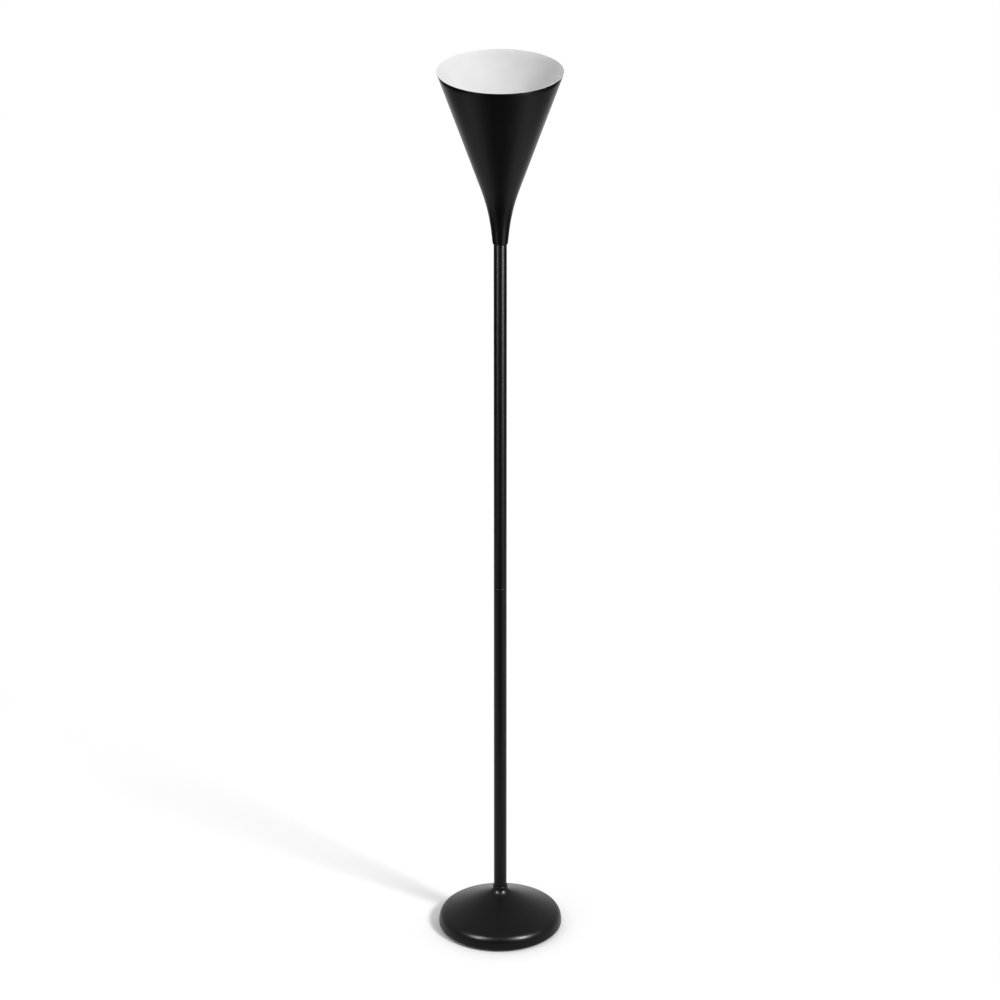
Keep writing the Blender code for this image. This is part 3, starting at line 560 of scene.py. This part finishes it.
outer, skirt_bottom, skirt_top = span("lampholder_skirt")
mouth = 14.6 * MM
chamfer = 1 * MM
skirt_section = [(outer - skin, skirt_bottom), (outer, skirt_bottom), (outer, skirt_top - chamfer),
                 (outer - chamfer, skirt_top), (mouth, skirt_top), (mouth, skirt_top - skin),
                 (outer - skin, skirt_top - skin)]
bm = spin(skirt_section, closed=True)
round_edges(bm, CRISP)
stands_for(piece("holder_skirt", bm, phenolic), "lampholder_skirt")

THREAD_RUNGS = 84
sleeve_radius, seat, sleeve_top = span("lampholder_screw_shell")
thread_radius = 13.1 * MM
brass_sheet = 0.5 * MM
floor_hole = 8 * MM
sleeve = [(floor_hole, seat + brass_sheet)]
sleeve += ladder(thread_radius, seat + brass_sheet, sleeve_top, THREAD_RUNGS)
sleeve += [(sleeve_radius, sleeve_top), (sleeve_radius, seat), (floor_hole, seat)]
bm = spin(sleeve, closed=True)
press_thread(bm, thread_radius, seat + 1 * MM, sleeve_top, 1)
stands_for(piece("holder_screw_shell", bm, brass), "lampholder_screw_shell")

# %% [markdown]
# ## The bulb
# The bulb has a threaded metal cap, a white moulded housing and an opal ball. The ball's wall is two arcs,
# one for each face, spun round the axis.

# %% Bulb
cap_low, cap_high = span("bulb_cap_shell")[1:]
cap_thread = 12.65 * MM
cap_wall = 0.4 * MM
cap_bore = cap_thread - THREAD_DEPTH / 2 - cap_wall
plain_band = 5 * MM     # the top of the cap, above its thread
bm = spin(ladder(cap_thread, cap_low, cap_high, THREAD_RUNGS) + [(cap_bore, cap_high), (cap_bore, cap_low)],
          closed=True)
press_thread(bm, cap_thread, cap_low, cap_high - plain_band, -1)
stands_for(piece("bulb_screw_cap", bm, nickel), "bulb_cap_shell", "bulb_body")

globe_radius, _, globe_top = span("bulb_globe")
globe_wall = 1.2 * MM
housing_mouth = 27.2 * MM
ARC_STEPS = 40
drop = math.sqrt(globe_radius ** 2 - housing_mouth ** 2)
centre = globe_top - globe_radius
opening = math.asin(drop / globe_radius)
globe_section = []
outer_arc = (globe_radius, -opening, math.pi / 2)
inner_arc = (globe_radius - globe_wall, math.pi / 2, -opening)
for radius, start, end in (outer_arc, inner_arc):
    for step in range(ARC_STEPS + 1):
        angle = start + (end - start) * step / ARC_STEPS
        on_axis = abs(angle - math.pi / 2) < 1e-9
        globe_section.append((0 if on_axis else radius * math.cos(angle), centre + radius * math.sin(angle)))
stands_for(piece("bulb_diffuser", spin(globe_section, closed=True), opal), "bulb_globe", "bulb_glass")

HOUSING_THICKNESS = 1.6 * MM
housing_low = span("bulb_housing")[1]
flank = flow((13.3 * MM, housing_low), (15 * MM, housing_low + 14 * MM), (25.5 * MM, housing_low + 22 * MM),
             (housing_mouth, housing_low + 37.5 * MM), 30)
housing = piece("bulb_body_housing", spin(flank, closed=False), housing_white)
housing_wall = housing.modifiers.new("wall", "SOLIDIFY")
housing_wall.thickness = HOUSING_THICKNESS
housing_wall.offset = -1
stands_for(housing, "bulb_housing", "bulb_body")

# %% [markdown]
# ## The floor
# The lamp stands on a plain pale sheet, dull and very slightly uneven in tone.

# %% Floor
FLOOR_HALF_WIDTH = 1.7
FLOOR_HALF_DEPTH = 2.6
FLOOR_MIDDLE = 1.85     # behind the lamp
bm = bmesh.new()
bmesh.ops.create_grid(bm, x_segments=2, y_segments=2, size=1)
bmesh.ops.scale(bm, vec=(FLOOR_HALF_WIDTH, FLOOR_HALF_DEPTH, 1), verts=bm.verts)
bmesh.ops.translate(bm, vec=(0, FLOOR_MIDDLE, 0), verts=bm.verts)
floor_finish, tree, shader, where = start_finish("pale_floor", Roughness=0.9, Specular_IOR_Level=0.1)
tree.links.new(tinted(tree, speckle(tree, where, 0.4), "#E5E5E5", "#E7E7E7"), shader.inputs["Base Color"])
floor = piece("floor", bm, floor_finish)
print("floor:", 2 * FLOOR_HALF_WIDTH, "by", 2 * FLOOR_HALF_DEPTH, "metres")

# %% [markdown]
# ## The sky
# The light from all round is bright above the horizon and behind the lamp, and dark below the horizon and in
# front. The camera itself sees plain white.


# %% World
def ramp(tree, factor, *stops):
    """A grey value that follows a factor through stops, each (position, value)."""
    made = put(tree, "ValToRGB", {"Fac": factor})
    while len(made.color_ramp.elements) < len(stops):
        made.color_ramp.elements.new(0.5)
    for element, (position, value) in zip(made.color_ramp.elements, stops):
        element.position = position
        element.color = (value, value, value, 1.0)
    return made.outputs["Color"]


world = bpy.data.worlds.new("studio")
bpy.context.scene.world = world
world.use_nodes = True
sky = world.node_tree
direction = put(sky, "SeparateXYZ", {"Vector": put(sky, "TexCoord", {}).outputs["Generated"]})
height = put(sky, "MapRange", {"Value": direction.outputs["Z"], "From Min": -1.0}).outputs["Result"]
depth = put(sky, "MapRange", {"Value": direction.outputs["Y"], "From Min": -1.0}).outputs["Result"]
SKY_STRENGTH = 1.03     # for light; what the camera sees of the sky stays at 1
rise = ramp(sky, height, (0.45, 0.03), (0.52, 1.0), (0.66, 0.9), (0.87, 1.05), (1.0, 0.75))
reach = ramp(sky, depth, (0.0, 0.12), (0.45, 0.75), (1.0, 1.0))
studio = put(sky, "Mix", {0: 1.0, 6: rise, 7: reach}, data_type="RGBA", blend_type="MULTIPLY").outputs[2]
seen = put(sky, "LightPath", {}).outputs["Is Camera Ray"]
background = sky.nodes["Background"]
sky.links.new(put(sky, "Mix", {0: seen, 6: studio, 7: (1.0, 1.0, 1.0, 1.0)}, data_type="RGBA").outputs[2],
              background.inputs["Color"])
sky.links.new(put(sky, "MapRange", {"Value": seen, "To Min": SKY_STRENGTH, "To Max": 1.0}).outputs["Result"],
              background.inputs["Strength"])
print("world:", world.name, "-", len(sky.nodes), "nodes")

# %% [markdown]
# ## The lights
# The key light comes from the front right, and a much wider and weaker fill from the front left. Four tall
# strips draw the lines of light on the pole, the base and the shade, and are linked to those pieces only.

# %% Light helpers
STRIP_DISTANCE = 2.6    # from the pole
STRIP_WIDTH = 0.45


def aim(light, towards):
    """Turn a light so that it shines along a direction."""
    light.rotation_euler = Vector(towards).to_track_quat("-Z", "Y").to_euler()
    bpy.context.collection.objects.link(light)


def lit_pieces(name, *pieces):
    """The pieces that a pair of strip lights draws highlights on."""
    lit = bpy.data.collections.new(name)
    for lit_piece in pieces:
        lit.objects.link(bpy.data.objects[lit_piece])
    return lit


def strip_light(name, bearing, low, high, radiance, lit):
    """A tall soft box that only draws highlights, at a bearing in degrees to the right of the camera."""
    data = bpy.data.lights.new(name, "AREA")
    data.shape = "RECTANGLE"
    data.size = STRIP_WIDTH
    data.size_y = high - low
    data.energy = radiance * math.pi * STRIP_WIDTH * (high - low)
    light = bpy.data.objects.new(name, data)
    away = Vector((math.sin(math.radians(bearing)), -math.cos(math.radians(bearing)), 0))
    light.location = away * STRIP_DISTANCE + Vector((0, 0, (low + high) / 2))
    light.visible_diffuse = False
    light.light_linking.receiver_collection = lit
    aim(light, -away)


# %% Lights
KEY_ENERGY, FILL_ENERGY = 2.5, 0.55
KEY_ANGLE, FILL_ANGLE = 12, 60      # degrees of the sky that each fills
KEY_TOWARDS = (-0.588, 0.490, -0.643)
FILL_TOWARDS = (0.4, 0.6, -0.69)
key_data = bpy.data.lights.new("key", "SUN")
key_data.energy = KEY_ENERGY
key_data.angle = math.radians(KEY_ANGLE)
key = bpy.data.objects.new("key", key_data)
aim(key, KEY_TOWARDS)
fill_data = bpy.data.lights.new("fill", "SUN")
fill_data.energy = FILL_ENERGY
fill_data.angle = math.radians(FILL_ANGLE)
fill = bpy.data.objects.new("fill", fill_data)
fill.visible_glossy = False
aim(fill, FILL_TOWARDS)
lower_half = lit_pieces("base_and_pole", "base_shell", "lower_pole_finished", "upper_pole_finished")
upper_half = lit_pieces("pole_and_shade", "lower_pole_finished", "upper_pole_finished", "shade_shell")
strip_light("high_right", 48, 1.7, 4.2, 150, lower_half)
strip_light("high_left", -48, 1.7, 4.2, 135, lower_half)
strip_light("low_right", 48, 0.45, 1.7, 132, upper_half)
strip_light("low_left", -46, 0.45, 1.7, 58, upper_half)
print("lights:", [light.name for light in bpy.data.lights])

# %% [markdown]
# ## The camera
# The camera stands well back with a long lens, high enough to look down into the shade.

# %% Camera
LENS = 213.5          # millimetres, on a 36 mm sensor
TILT_DOWN = 24.716    # degrees
CAMERA_PLACE = (0, -10.331, 5.679)
SIDE_SHIFT = -0.00025   # of the picture's width
camera_data = bpy.data.cameras.new("camera")
camera_data.lens = LENS
camera_data.clip_end = 100
camera = bpy.data.objects.new("camera", camera_data)
camera_data.shift_x = SIDE_SHIFT
camera.location = CAMERA_PLACE
camera.rotation_euler = (math.radians(90 - TILT_DOWN), 0, 0)
bpy.context.collection.objects.link(camera)
bpy.context.scene.camera = camera
bpy.context.scene.view_settings.view_transform = "Standard"
print("camera at", CAMERA_PLACE, "with a lens of", LENS, "mm")
